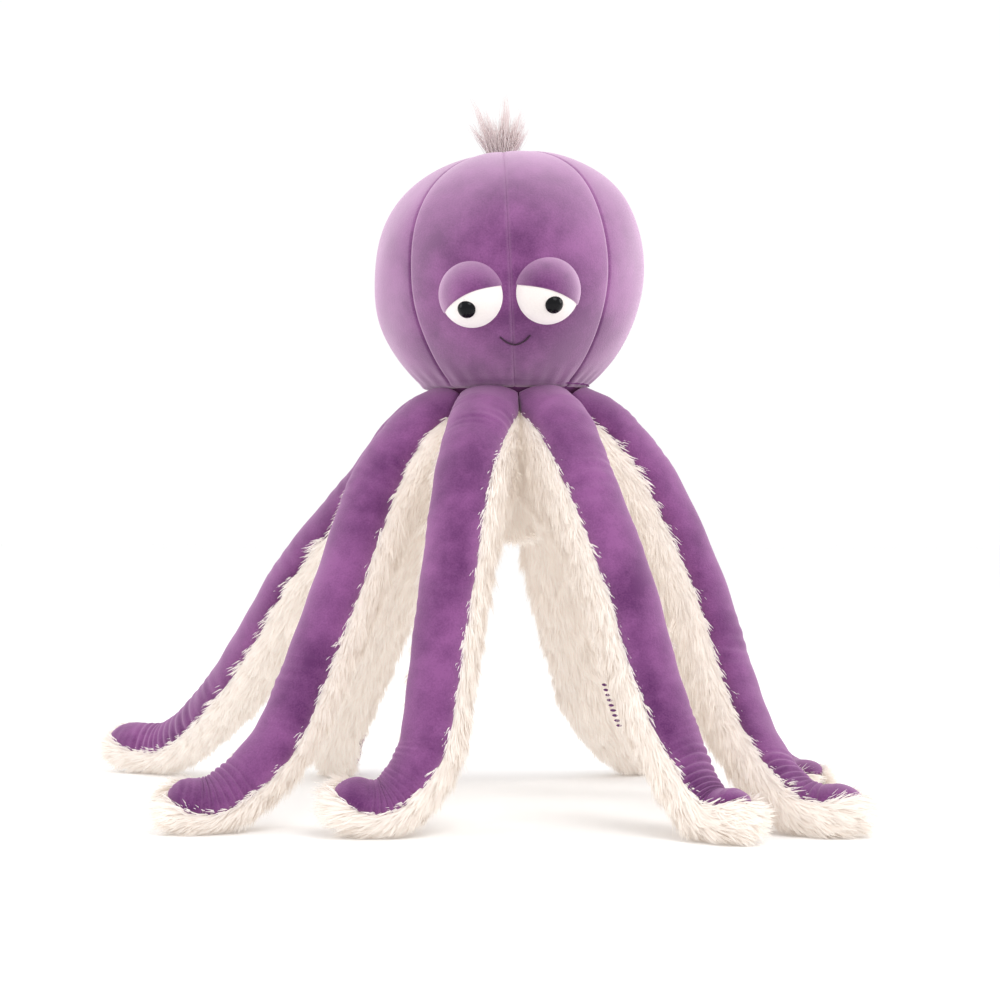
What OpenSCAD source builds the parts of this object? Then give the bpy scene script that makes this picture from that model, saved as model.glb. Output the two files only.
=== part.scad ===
// Stuffed octopus toy: a ball head of eight sewn panels on eight two-tone tentacles.
// Millimetres, +Z up, the face looks along -Y. The origin is on the floor, in the middle of the footprint.

/* [Head] */
// Largest radius of the head
head_r = 94.5; // [90:0.5:98]
// Height of the head's widest level above the floor
head_z = 368.5; // [364:0.5:374]
// Rise of the crown above the widest level
crown_h = 87; // [82:0.5:92]
// Depth of the lower half's ellipse below the widest level
chin_h = 96.5; // [94:0.5:100]
// Drop from the widest level to the neck seam
neck_drop = 75; // [72:0.5:78]
// Roll of the face about the head's middle, right eye up
head_lean = -3; // [-5:0.5:0]
// Number of panels in the head
panels = 8; // [8]

/* [Eyes] */
// Angle of each eye from the middle of the face
eye_side = 16.5; // [15:0.5:18]
// Angle of each eye below the head's widest level
eye_drop = 12; // [10:0.5:14]
// Radius of the ball that shapes an eye pad
eye_ball_r = 23.4; // [22:0.1:25]
// Radius of a plastic eye button
button_r = 6.1; // [5:0.1:6.5]

/* [Tentacles] */
// Turn of the tentacle ring about the neck
ring_turn = 6.5; // [0:0.5:10]
// Half width of a tentacle at mid length
half_w = 24; // [20:0.5:25]
// Thickness of the skins round the stuffing
skin = 6; // [4:0.5:7]
// How far the fur stands proud of the smooth band
pile = 2; // [0:0.5:3]
// Half of the band's sweep round a tentacle's section
band_sweep = 58; // [50:1:62]
// Half of the clear gap at a tentacle's bend joint
bend_gap = 8.5; // [8:0.5:10]

/* [Hidden] */

// The eyes sit a little to the left of the head's middle
face_turn = -0.6;
tentacles = 8;
step_angle = 360 / tentacles;
axis_x = 44;                      // the neck's axis, from the middle of the footprint
axis_y = -4.5;
neck_z = head_z - neck_drop;
neck_r = head_r * sqrt(1 - pow(neck_drop / chin_h, 2));
head_skin = 2.5;
seam_gap = 0.3;
nod_z = 262;                      // height of the point about which the head nods
hub_r = 12;
crotch_z = 196;
knee = 0.5;                       // where along the route a tentacle bends
// Middle line of each tentacle from mid length down: two shin points, ankle, foot and tip, from the neck's axis
shins = [
  [[-37, -112, 150], [-45, -128, 88], [-54, -140, 46], [-78, -148, 20], [-113, -152, 26]],
  [[72, -114, 150], [89, -132, 90], [105, -145, 50], [124, -164, 19], [149, -182, 21]],
  [[124, -46, 150], [142, -72, 90], [160, -104, 48], [186, -138, 19], [224, -152, 20]],
  [[116, 62, 150], [142, 66, 90], [165, 56, 48], [192, 22, 18], [216, -14, 17]],
  [[38, 114, 152], [52, 130, 96], [66, 144, 54], [98, 168, 21], [128, 182, 24]],
  [[-86, 108, 150], [-108, 124, 92], [-126, 136, 48], [-131, 156, 20], [-132, 184, 23]],
  [[-146, 54, 158], [-180, 84, 107], [-216, 118, 62], [-262, 166, 24], [-312, 190, 25]],
  [[-109, -74, 150], [-131, -94, 90], [-153, -112, 48], [-187, -130, 20], [-220, -137, 21]],
];
// Way that each band faces in plan, at mid length and at the tip, and its roll about the tip
mid_face = [-25, 36, 62, 119, 160, 200, 283, 329];
tip_face = [-84, 50, 72, 50, 125, 194, 247, 290];
tip_roll = [33, 5, 0, 0, 0, -75, 36, 40];
// Shape of a tentacle's section along its route: half width, reach to the band, reach to the inner seam
widths = [[0, 28], [0.14, 28], [0.29, half_w + 2], [0.43, half_w + 0.5], [0.57, half_w - 0.5],
          [0.71, half_w - 1], [0.86, half_w - 3], [1, half_w - 5]];
crowns = [[0, 20], [0.07, 26], [0.14, 28], [0.29, 26], [0.43, 25], [0.57, 23], [0.71, 20], [0.86, 17], [1, 15]];
keels = [[0, 29], [0.06, 42], [0.12, 58], [0.18, 53], [0.24, 45], [0.30, 37], [0.36, 32.5], [0.43, 30],
         [0.57, 27], [0.71, 24], [0.86, 20.5], [1, 19]];
// Half of the band's sweep round the section: the bands meet at the neck and part below it
sweeps = [[0, band_sweep + 26], [0.06, band_sweep + 8], [0.14, band_sweep], [1, band_sweep]];

// ---- small helpers ----
function unit(v) = v / norm(v);
function outward(a) = [sin(a), -cos(a), 0];
function sideways(a) = [cos(a), sin(a), 0];
function root_angle(k) = ring_turn - step_angle / 2 + step_angle * k;
function smooth(t) = let (u = min(1, max(0, t))) u * u * (3 - 2 * u);
function mix(a, b, t) = a + (b - a) * t;

// ---- head ----
function head_radius(z) = z > 0
  ? head_r * pow(max(0, 1 - pow(z / crown_h, 2.25)), 1 / 2.25)
  : head_r * sqrt(1 - pow(z / chin_h, 2));

// Points down the head's side, from the crown hole to the neck, drawn inwards by d
function head_side(d) = concat(
  [for (a = [2:8:90]) let (z = crown_h * pow(cos(a), 2 / 2.25), r = head_r * pow(sin(a), 2 / 2.25))
    [max(3, r * (1 - d / head_r)), z * (1 - d / crown_h)]],
  [for (i = [1:9]) let (z = -neck_drop * i / 9) [head_radius(z) - d, z]]);

module on_neck() {
  translate([axis_x, axis_y, 0]) children();
}

// Places the head's own frame, with its middle at the widest level
module on_head() {
  on_neck() translate([0, 0, head_z]) children();
}

// Points +Z out of the face at side angle a, down angle d
module look(a, d) {
  rotate([0, 0, a]) rotate([90 + d, 0, 0]) children();
}

module each_eye() {
  rotate([0, head_lean, 0]) for (s = [-1, 1]) look(s * eye_side + face_turn, eye_drop) children();
}

module each_button() {
  rotate([0, head_lean, 0]) for (s = [-1, 1]) look(s * eye_side + face_turn, eye_drop + 3.8) children();
}

module head_solid(d) {
  rotate_extrude($fn = 96)
    polygon(concat([[0, crown_h - d]], head_side(d), [[0, -neck_drop]]));
}

// The dome of body stuffing that the head nods on, grown by d
module nod_ball(d) {
  translate([0, 0, nod_z]) sphere(r = norm([neck_r - head_skin, neck_z - nod_z]) - 1 + d, $fn = 96);
}

module head_panels() {
  half_gap = asin(seam_gap / head_r);
  color("mediumpurple") on_head() difference() {
    for (i = [0:panels - 1])
      rotate([0, 0, -90 + half_gap + i * 360 / panels])
        rotate_extrude(angle = 360 / panels - 2 * half_gap, $fn = 96)
          polygon(concat(head_side(0), [for (i = [len(head_side(0)) - 1:-1:0]) head_side(head_skin)[i]]));
    each_button() cylinder(r = 1.9, h = 150, $fn = 24);
  }
}

module head_stuffing() {
  color("white") on_head() difference() {
    head_solid(head_skin + seam_gap);
    translate([0, 0, -head_z]) nod_ball(0.5);
    each_button() {
      translate([0, 0, 84]) cylinder(r = 8.6, h = 20, $fn = 24);
    }
  }
}

module eye_pads() {
  color("ivory") on_head() difference() {
    each_eye() translate([0, 0, head_r - 10.5]) sphere(r = eye_ball_r, $fn = 64);
    sphere(r = head_r + 1.1, $fn = 96);
    each_button() {
      cylinder(r = 1.9, h = 150, $fn = 24);
      translate([0, 0, 105.3]) cylinder(r = button_r + 0.4, h = 10, $fn = 32);
    }
  }
}

module eyelids() {
  color("mediumpurple") on_head() for (s = [-1, 1]) difference() {
    rotate([0, head_lean, 0]) look(s * eye_side + face_turn, eye_drop) translate([0, 0, head_r - 10.5]) difference() {
      sphere(r = eye_ball_r + 1.2, $fn = 64);
      sphere(r = eye_ball_r + 0.2, $fn = 64);
      // below the lid's edge, which droops to the outside
      rotate([0, 0, -s * 19]) translate([-40, -81, -40]) cube(80);
    }
    sphere(r = head_r + 1.1, $fn = 96);
    each_button() cylinder(r = button_r + 0.4, h = 150, $fn = 32);
  }
}

module eye_buttons() {
  color("black") on_head() each_button() {
    intersection() {
      translate([0, 0, 102.6]) sphere(r = button_r + 0.7, $fn = 48);
      translate([0, 0, 105.5]) cylinder(r = button_r + 2, h = 10, $fn = 48);
    }
    translate([0, 0, 85.5]) cylinder(r = 1.6, h = 20, $fn = 24);
  }
}

module eye_washers() {
  color("whitesmoke") on_head() each_button() translate([0, 0, 86]) difference() {
    cylinder(r = 8, h = 1.6, $fn = 32);
    translate([0, 0, -1]) cylinder(r = 1.65, h = 4, $fn = 24);
  }
}

module smile_stitch() {
  thread = 0.8;
  turns = [for (i = [-7:7]) i / 7];
  color("black") on_head() rotate([0, head_lean, 0]) sweep([for (u = turns)
    let (a = u * 7, z = -54 + 5 * u * u, r = head_radius(z) + thread + 0.25, m = outward(a) * r + [0, 0, z])
      [for (j = [0:5]) m + (thread * (1 - 0.5 * u * u * u * u)) * (cos(j * 60) * outward(a) + [0, 0, sin(j * 60)])]]);
}

module crown_tuft() {
  color("ivory") on_head() translate([0, 0, crown_h])
    rotate_extrude($fn = 32)
      polygon([[0, -2.4], [2.5, -2.4], [2.5, 0.6], [9, 0.6], [12, 12], [14, 26], [9, 34], [0, 34]]);
}

// ---- body ----
module body_stuffing() {
  color("white") on_neck() union() {
    intersection() {
      nod_ball(0);
      translate([0, 0, neck_z - 1]) cylinder(r = neck_r + 5, h = 60, $fn = 96);
    }
    rotate_extrude($fn = 96)
      polygon([[0, neck_z], [neck_r - 5, neck_z], [neck_r - 6, neck_z - 2], [hub_r + 0.5, neck_z - 41],
               [hub_r, neck_z - 45], [hub_r, crotch_z - 3], [0, crotch_z - 3]]);
  }
}

module underside_patch() {
  color("ivory") on_neck() translate([0, 0, crotch_z - 6]) cylinder(r = 11.5, h = 2.6, $fn = 48);
}

// ---- tentacles ----
function route(k) = let (a = root_angle(k)) concat(
  [outward(a) * 41 + [0, 0, 274], outward(a) * 70 + [0, 0, 250], outward(a) * 97.5 + [0, 0, 217]], shins[k]);

// A point on the smooth curve through a route's points, t from 0 to 1
function on_route(p, t) =
  let (n = len(p) - 1, s = t * n, i = min(floor(s), n - 1), u = s - i,
       a = i > 0 ? p[i - 1] : 2 * p[0] - p[1], b = p[i], c = p[i + 1], d = i < n - 1 ? p[i + 2] : 2 * p[n] - p[n - 1])
  (2 * b + (c - a) * u + (2 * a - 5 * b + 4 * c - d) * u * u + (3 * b - a - 3 * c + d) * u * u * u) / 2;

function heading(p, t) = unit(on_route(p, min(1, t + 0.01)) - on_route(p, max(0, t - 0.01)));

// Angle in plan that the band faces: outwards at the neck, then turning to mid_face and on to tip_face
function facing(k, t) = t < 0.5
  ? mix(root_angle(k), mid_face[k], smooth((t - 0.04) / 0.3))
  : mix(mid_face[k], tip_face[k], smooth((t - 0.5) / 0.4));

// One point of a section at angle q from the band's middle, drawn inwards by d and scaled by s
function skin_point(k, p, t, q, d, s) =
  let (head = heading(p, t), w0 = sideways(facing(k, t)), w1 = unit(w0 - (w0 * head) * head), n1 = cross(head, w1),
       roll = tip_roll[k] * smooth((t - 0.5) / 0.35),
       n = n1 * cos(roll) + w1 * sin(roll), w = w1 * cos(roll) - n1 * sin(roll),
       reach = cos(q) > 0 ? lookup(t, crowns) : lookup(t, keels),
       v = on_route(p, t) + s * (reach - d) * cos(q) * n + s * (lookup(t, widths) - d) * sin(q) * w)
  t < 0.4 ? in_wedge(v, root_angle(k), d) : [v[0], v[1], max(v[2], d)];

// Keeps a point inside its tentacle's share of the ring, and clear of the hub
function in_wedge(v, a, d) =
  let (r = max(v * outward(a), hub_r + 9 + d), w = v * sideways(a),
       limit = r * tan(step_angle / 2) - 0.4 - d - max(0, 286 - v[2]) * 0.036,
       held = min(limit, max(-limit, w)))
  r * outward(a) + held * sideways(a) + [0, 0, v[2]];

// Rounds a tentacle's end
function end_scale(t) = t > 0.94 ? sqrt(max(0.02, 1 - pow((t - 0.94) / 0.06, 2))) : 1;

// A closed solid through loops of points, each loop an arc out and the same arc back
module sweep(loops) {
  m = len(loops[0]);
  n = len(loops);
  points = [for (loop = loops) each loop];
  sides = [for (i = [0:n - 2], j = [0:m - 1]) let (a = i * m + j, b = i * m + (j + 1) % m)
    each [[a, b, b + m], [a, b + m, a + m]]];
  caps = [for (e = [0, n - 1], j = [0:m / 2 - 2])
    let (a = e * m + j, b = a + 1, c = e * m + m - 2 - j, d = c + 1)
      each (e == 0 ? [[a, c, b], [a, d, c]] : [[a, b, c], [a, c, d]])];
  polyhedron(points, concat(sides, caps), convexity = 6);
}

// A skin between two depths along the stations; side 0 is the band, -1 and 1 the two fur panels
module skin_strip(k, stations, side, outer, inner) {
  p = route(k);
  spans = 5;
  on_neck() sweep([for (t = stations)
    let (edge = lookup(t, sweeps), q0 = side == 0 ? -edge : side > 0 ? edge + fur_seam : 180 + fur_seam,
         q1 = side == 0 ? edge : side > 0 ? 180 - fur_seam : 360 - edge - fur_seam)
    concat([for (i = [0:spans]) skin_point(k, p, t, mix(q0, q1, i / spans), outer, end_scale(t))],
           [for (i = [spans:-1:0]) skin_point(k, p, t, mix(q0, q1, i / spans), inner, end_scale(t))])]);
}

// The filling inside the skins; it narrows to a point at the bend, so that the tip can swing
module filling(k, stations) {
  p = route(k);
  on_neck() sweep([for (t = stations) let (s = abs(t - knee) < gap_t / 2 ? 0.1 : 1)
    [for (q = [0:30:330]) skin_point(k, p, t, q, skin + slack, s * end_scale(t))]]);
}

gap_t = bend_gap / 350;           // the bend's gap as a share of the route
fur_seam = 1.2;                   // angle left at each edge of a fur panel
slack = 2;                        // room between the skins and the filling
root_stations = [0, 0.06, 0.12, 0.18, 0.24, 0.30, 0.36, 0.42, knee - gap_t];
tip_stations = [knee + gap_t, 0.57, 0.62, 0.67, 0.72, 0.77, 0.82, 0.87, 0.91, 0.94, 0.965, 0.985, 1];
root_filling = concat(root_stations, [knee - 0.002]);
tip_filling = concat([knee + 0.002], [for (i = [0:len(tip_stations) - 2]) tip_stations[i]]);

module band(k, stations) {
  color("darkorchid") skin_strip(k, stations, 0, pile, skin);
}

// Two fur panels, sewn to the band and to each other along the inner seam
module fur(k, stations) {
  color("ivory") for (side = [-1, 1]) skin_strip(k, stations, side, 0, skin);
}

module closing_stitch() {
  k = 1;
  p = route(k);
  stitches = 9;
  color("purple") on_neck() for (i = [0:stitches - 1]) let (
    t = 0.55 + 0.07 * i / (stitches - 1),
    a = skin_point(k, p, t, 226, -0.9, 1), b = skin_point(k, p, t + 0.004, 236, -0.9, 1), h = heading(p, t),
    n = unit(cross(h, b - a)))
    sweep([for (e = [a, b]) [for (j = [0:5]) e + 0.6 * (cos(j * 60) * h + sin(j * 60) * n)]]);
}

head_panels();
head_stuffing();
eye_pads();
eyelids();
eye_buttons();
eye_washers();
smile_stitch();
crown_tuft();
body_stuffing();
underside_patch();
closing_stitch();
for (k = [0:tentacles - 1]) {
  name = str("tentacle_", k + 1, "_");
  band(k, root_stations);
  fur(k, root_stations);
  color("white") filling(k, root_filling);
  band(k, tip_stations);
  fur(k, tip_stations);
  color("white") filling(k, tip_filling);
}
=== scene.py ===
# %% [markdown]
# # A stuffed octopus toy
# A ball of short-pile plush stands on eight long tentacles. Each tentacle is a smooth purple band on
# top of long cream fur. The CAD model gives the sizes, the bodies and the joints; this script gives the
# toy its cloth, fur, stitches and light. Everything is made in metres in the CAD model's own frame.

# %% Load the frame
import math
import bpy
import numpy as np
from mathutils import Matrix, Vector


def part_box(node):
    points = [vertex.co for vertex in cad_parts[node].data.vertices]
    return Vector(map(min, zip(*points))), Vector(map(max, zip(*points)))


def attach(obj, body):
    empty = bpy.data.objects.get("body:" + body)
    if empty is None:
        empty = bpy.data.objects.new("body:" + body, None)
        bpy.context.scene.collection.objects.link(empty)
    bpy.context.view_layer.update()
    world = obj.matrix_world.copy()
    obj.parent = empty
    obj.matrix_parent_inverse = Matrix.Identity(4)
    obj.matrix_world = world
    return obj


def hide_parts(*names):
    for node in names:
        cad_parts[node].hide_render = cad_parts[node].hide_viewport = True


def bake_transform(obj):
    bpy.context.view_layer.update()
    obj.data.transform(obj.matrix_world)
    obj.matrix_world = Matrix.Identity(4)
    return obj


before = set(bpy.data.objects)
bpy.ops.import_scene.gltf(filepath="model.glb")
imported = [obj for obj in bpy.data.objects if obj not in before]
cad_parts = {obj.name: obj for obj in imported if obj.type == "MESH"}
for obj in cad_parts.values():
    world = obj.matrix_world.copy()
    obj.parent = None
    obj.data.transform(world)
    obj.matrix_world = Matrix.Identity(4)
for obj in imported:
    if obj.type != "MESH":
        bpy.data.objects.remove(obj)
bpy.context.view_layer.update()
MM = 0.001

# %% [markdown]
# ## Helpers for meshes
# Cloth pieces are grids of points: one row for each station along the piece. A shell joins an outer
# and an inner grid, so that each piece is closed and has a thickness, as cloth has.


# %% Mesh helpers
def make_object(name, points, faces, material):
    """A smooth-shaded object from points in millimetres."""
    mesh = bpy.data.meshes.new(name)
    mesh.from_pydata((np.asarray(points) * MM).tolist(), [], faces)
    mesh.polygons.foreach_set("use_smooth", [True] * len(mesh.polygons))
    mesh.materials.append(material)
    mesh.update()
    obj = bpy.data.objects.new(name, mesh)
    bpy.context.scene.collection.objects.link(obj)
    return obj


def grid_faces(rows, columns, around=False, first=0, flip=False):
    """Quads between rows of points; around joins the last column to the first."""
    faces = []
    for i in range(rows - 1):
        for j in range(columns if around else columns - 1):
            a = first + i * columns + j
            b = first + i * columns + (j + 1) % columns
            quad = [a, a + columns, b + columns, b]
            faces.append(quad[::-1] if flip else quad)
    return faces


def shell(name, outer, inner, material):
    """A closed sheet between two grids of shape (rows, columns, 3), outer facing out."""
    rows, columns = outer.shape[:2]
    loops = np.concatenate([outer, inner[:, ::-1]], axis=1)
    count = 2 * columns
    faces = grid_faces(rows, count, around=True)
    for row, flip in ((0, False), (rows - 1, True)):
        base = row * count
        for j in range(columns - 1):
            quad = [base + j, base + j + 1, base + count - 2 - j, base + count - 1 - j]
            faces.append(quad[::-1] if flip else quad)
    obj = make_object(name, loops.reshape(-1, 3), faces, material)
    # the end caps stay flat, so that they don't bend the light on the rows beside them
    flat = 2 * (columns - 1)
    obj.data.polygons.foreach_set("use_smooth", [True] * (len(faces) - flat) + [False] * flat)
    return obj


def smooth(t):
    t = np.clip(t, 0, 1)
    return t * t * (3 - 2 * t)


def unit(v):
    return v / np.maximum(np.linalg.norm(v, axis=-1, keepdims=True), 1e-9)


# %% [markdown]
# ## The cloths
# Short-pile plush looks lighter at its edges, where the pile is seen from the side: a painted sheen.
# It has soft blotches where the pile lies in different directions. A node group makes the blotches and
# the fine pile once, and each plush material uses it with its own colours.


# %% The pile group
def new_group(name, inputs, outputs):
    group = bpy.data.node_groups.new(name, "ShaderNodeTree")
    for socket, kind, value in inputs:
        item = group.interface.new_socket(socket, in_out="INPUT", socket_type=kind)
        item.default_value = value
    for socket, kind in outputs:
        group.interface.new_socket(socket, in_out="OUTPUT", socket_type=kind)
    return group, group.nodes.new("NodeGroupInput"), group.nodes.new("NodeGroupOutput")


def noise(nodes, links, where, scale, detail=3, rough=0.55):
    node = nodes.new("ShaderNodeTexNoise")
    node.inputs["Scale"].default_value = scale
    node.inputs["Detail"].default_value = detail
    node.inputs["Roughness"].default_value = rough
    links.new(where, node.inputs["Vector"])
    return node


def math_node(nodes, links, operation, *values):
    node = nodes.new("ShaderNodeMath")
    node.operation = operation
    for socket, value in zip(node.inputs, values):
        if isinstance(value, (int, float)):
            socket.default_value = value
        else:
            links.new(value, socket)
    return node.outputs[0]


MEDIUM_BLOTCH = 95.0        # blotches to a metre, roughly


def make_pile_group():
    group, source, sink = new_group(
        "pile",
        [("Blotch size", "NodeSocketFloat", 22.0), ("Pile size", "NodeSocketFloat", 900.0),
         ("Pile height", "NodeSocketFloat", 0.0006)],
        [("Blotch", "NodeSocketFloat"), ("Normal", "NodeSocketVector")],
    )
    nodes, links = group.nodes, group.links
    where = nodes.new("ShaderNodeTexCoord").outputs["Object"]
    wide = noise(nodes, links, where, 1.0, 2)
    links.new(source.outputs["Blotch size"], wide.inputs["Scale"])
    medium = noise(nodes, links, where, MEDIUM_BLOTCH, 3)
    fine = noise(nodes, links, where, 1.0, 2)
    links.new(source.outputs["Pile size"], fine.inputs["Scale"])
    # the three noises add up with these shares
    total = math_node(nodes, links, "MULTIPLY", wide.outputs["Fac"], 0.56)
    total = math_node(nodes, links, "MULTIPLY_ADD", medium.outputs["Fac"], 0.22, total)
    total = math_node(nodes, links, "MULTIPLY_ADD", fine.outputs["Fac"], 0.22, total)
    links.new(total, sink.inputs["Blotch"])
    bump = nodes.new("ShaderNodeBump")
    bump.inputs["Strength"].default_value = 0.55
    links.new(source.outputs["Pile height"], bump.inputs["Distance"])
    links.new(fine.outputs["Fac"], bump.inputs["Height"])
    links.new(bump.outputs["Normal"], sink.inputs["Normal"])
    return group


PILE = make_pile_group()


# %% [markdown]
# The group's blotches choose between a deep and a light colour, and painted shade can darken a material low
# down.
# Layer Weight then mixes in a painted sheen where the cloth turns away from the eye; Sheen gives the velvet
# glow.


# %% Plush material
SHADE_FROM, SHADE_TO = 0.345, 0.300     # the heights over which painted shade darkens the head's lower part, in metres


def plush(name, deep, light, edge, sheen=0.5, pile_height=0.0006, sheen_edge_blend=0.35, painted_shade_low=0.0):
    """A plush whose colour runs from deep to light in blotches and to edge, a painted sheen, where it turns
    away.
    """
    material = bpy.data.materials.new(name)
    material.use_nodes = True
    nodes, links = material.node_tree.nodes, material.node_tree.links
    shader = nodes["Principled BSDF"]
    pile = nodes.new("ShaderNodeGroup")
    pile.node_tree = PILE
    pile.inputs["Pile height"].default_value = pile_height
    ramp = nodes.new("ShaderNodeValToRGB")
    ramp.color_ramp.elements[0].position = 0.38
    ramp.color_ramp.elements[0].color = (*deep, 1)
    ramp.color_ramp.elements[1].position = 0.62
    ramp.color_ramp.elements[1].color = (*light, 1)
    # painted shade: the cloth turns darker below the face; the last parameter says by how much
    place = nodes.new("ShaderNodeSeparateXYZ")
    links.new(nodes.new("ShaderNodeTexCoord").outputs["Object"], place.inputs[0])
    low = nodes.new("ShaderNodeMapRange")
    links.new(place.outputs["Z"], low.inputs["Value"])
    for socket, value in (("From Min", SHADE_FROM), ("From Max", SHADE_TO), ("To Max", -painted_shade_low)):
        low.inputs[socket].default_value = value
    blotch_and_shade = math_node(nodes, links, "ADD", pile.outputs["Blotch"], low.outputs["Result"])
    links.new(blotch_and_shade, ramp.inputs["Fac"])
    # painted sheen: the edge colour is mixed in where the cloth turns away from the eye
    weight = nodes.new("ShaderNodeLayerWeight")
    weight.inputs["Blend"].default_value = sheen_edge_blend
    mix = nodes.new("ShaderNodeMix")
    mix.data_type = "RGBA"
    mix.inputs["B"].default_value = (*edge, 1)
    links.new(math_node(nodes, links, "MULTIPLY", weight.outputs["Facing"], 0.9), mix.inputs["Factor"])
    links.new(ramp.outputs["Color"], mix.inputs["A"])
    links.new(mix.outputs["Result"], shader.inputs["Base Color"])
    links.new(pile.outputs["Normal"], shader.inputs["Normal"])
    shader.inputs["Roughness"].default_value = 0.85
    shader.inputs["Specular IOR Level"].default_value = 0.15
    shader.inputs["Sheen Weight"].default_value = sheen
    shader.inputs["Sheen Roughness"].default_value = 0.45
    shader.inputs["Sheen Tint"].default_value = (0.95, 0.8, 0.93, 1)
    return material


# each plush's third colour is a painted sheen at its edges
DEEP_PURPLE, LIGHT_PURPLE = (0.105, 0.024, 0.108), (0.250, 0.082, 0.240)
# the head's cloth gets painted shade below the face
velboa = plush("velboa", DEEP_PURPLE, LIGHT_PURPLE, (0.64, 0.42, 0.60), painted_shade_low=0.12)
# the bands' copy of the same cloth, with a dimmer painted sheen at its edges
band_velboa = plush("band_velboa", (0.104, 0.024, 0.108), LIGHT_PURPLE, (0.36, 0.17, 0.34), sheen=0.28,
                    sheen_edge_blend=0.3)
fleece = plush("fleece", (0.80, 0.74, 0.71), (0.88, 0.83, 0.80), (0.95, 0.92, 0.90), sheen=0.2,
               pile_height=0.0004)


# %% [markdown]
# Fur strands are lighter at their tips than at their roots, and each strand has its own shade. The
# strands carry both numbers as attributes, so the material needs no texture.


# %% Fur and plain materials
def fur_material(name, root, tip, bounce):
    """Strands that run from root to tip colour; bounce is the glow that stands for scattered light."""
    material = bpy.data.materials.new(name)
    material.use_nodes = True
    nodes, links = material.node_tree.nodes, material.node_tree.links
    shader = nodes["Principled BSDF"]
    along = nodes.new("ShaderNodeAttribute")
    along.attribute_name = "along"
    shade = nodes.new("ShaderNodeAttribute")
    shade.attribute_name = "shade"
    mix = nodes.new("ShaderNodeMix")
    mix.data_type = "RGBA"
    mix.inputs["A"].default_value = (*root, 1)
    mix.inputs["B"].default_value = (*tip, 1)
    links.new(along.outputs["Fac"], mix.inputs["Factor"])
    value = math_node(nodes, links, "MULTIPLY_ADD", shade.outputs["Fac"], 0.10, 0.93)
    scale = nodes.new("ShaderNodeVectorMath")
    scale.operation = "SCALE"
    links.new(mix.outputs["Result"], scale.inputs[0])
    links.new(value, scale.inputs["Scale"])
    links.new(scale.outputs[0], shader.inputs["Base Color"])
    shader.inputs["Roughness"].default_value = 0.7
    shader.inputs["Specular IOR Level"].default_value = 0.2
    shader.inputs["Sheen Weight"].default_value = 0.25
    # light that has bounced many times between white strands, more than the renderer follows
    shader.inputs["Emission Color"].default_value = (1.0, 0.92, 0.86, 1)
    shader.inputs["Emission Strength"].default_value = bounce
    glow = nodes.new("ShaderNodeBsdfTranslucent")
    links.new(scale.outputs[0], glow.inputs["Color"])
    blend = nodes.new("ShaderNodeMixShader")
    blend.inputs["Fac"].default_value = 0.4
    links.new(shader.outputs[0], blend.inputs[1])
    links.new(glow.outputs[0], blend.inputs[2])
    links.new(blend.outputs[0], nodes["Material Output"].inputs["Surface"])
    return material


def plain(name, color, rough, specular=0.5, coat=0.0):
    material = bpy.data.materials.new(name)
    material.use_nodes = True
    shader = material.node_tree.nodes["Principled BSDF"]
    shader.inputs["Base Color"].default_value = (*color, 1)
    shader.inputs["Roughness"].default_value = rough
    shader.inputs["Specular IOR Level"].default_value = specular
    shader.inputs["Coat Weight"].default_value = coat
    return material


long_fur = fur_material("long_fur", (0.92, 0.87, 0.825), (0.96, 0.925, 0.885), 0.125)
tuft_fur = fur_material("tuft_fur", (0.85, 0.77, 0.76), (0.86, 0.78, 0.77), 0.0)
button_plastic = plain("button_plastic", (0.004, 0.004, 0.005), 0.06, 0.14)
black_thread = plain("black_thread", (0.035, 0.012, 0.03), 0.6, 0.3)
purple_thread = plain("purple_thread", (0.12, 0.03, 0.13), 0.6, 0.3)
stuffing_white = plain("stuffing_white", (0.85, 0.85, 0.83), 0.9, 0.1)

# %% [markdown]
# ## One tree for fur
# Real fur has thousands of strands that leave the cloth at a slant and lean together in locks. Geometry
# Nodes scatter points over the skin, put a curved blade of two quads on each, and point it along the
# skin's own "flow" attribute, with some noise that is shared by neighbours. Realize Instances turns the
# result into one plain mesh.


# %% Geometry Nodes helpers
def geometry_tree(name, inputs):
    tree = bpy.data.node_groups.new(name, "GeometryNodeTree")
    tree.interface.new_socket("Geometry", in_out="INPUT", socket_type="NodeSocketGeometry")
    for socket, kind, value in inputs:
        item = tree.interface.new_socket(socket, in_out="INPUT", socket_type=kind)
        if value is not None:
            item.default_value = value
    tree.interface.new_socket("Geometry", in_out="OUTPUT", socket_type="NodeSocketGeometry")
    return tree, tree.nodes.new("NodeGroupInput"), tree.nodes.new("NodeGroupOutput")


class Tree:
    """Adds nodes to a tree with little writing: t.add(kind, inputs, properties)."""

    def __init__(self, tree):
        self.nodes, self.links = tree.nodes, tree.links

    def add(self, kind, inputs=None, **properties):
        node = self.nodes.new(kind)
        for key, value in properties.items():
            setattr(node, key, value)
        for key, value in (inputs or {}).items():
            socket = node.inputs[key]
            if isinstance(value, bpy.types.NodeSocket):
                self.links.new(value, socket)
            else:
                socket.default_value = value
        return node

    def math(self, operation, a, b=0.0):
        return self.add("ShaderNodeMath", {0: a, 1: b}, operation=operation).outputs[0]

    def vector(self, operation, a, b=None, scale=None):
        inputs = {0: a}
        if b is not None:
            inputs[1] = b
        if scale is not None:
            inputs["Scale"] = scale
        return self.add("ShaderNodeVectorMath", inputs, operation=operation).outputs[0]

    def random(self, low, high, seed):
        inputs = {2: low, 3: high, "Seed": seed}
        return self.add("FunctionNodeRandomValue", inputs, data_type="FLOAT").outputs[1]

    def named(self, name, kind="FLOAT"):
        return self.add("GeometryNodeInputNamedAttribute", {"Name": name}, data_type=kind).outputs[0]


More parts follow.
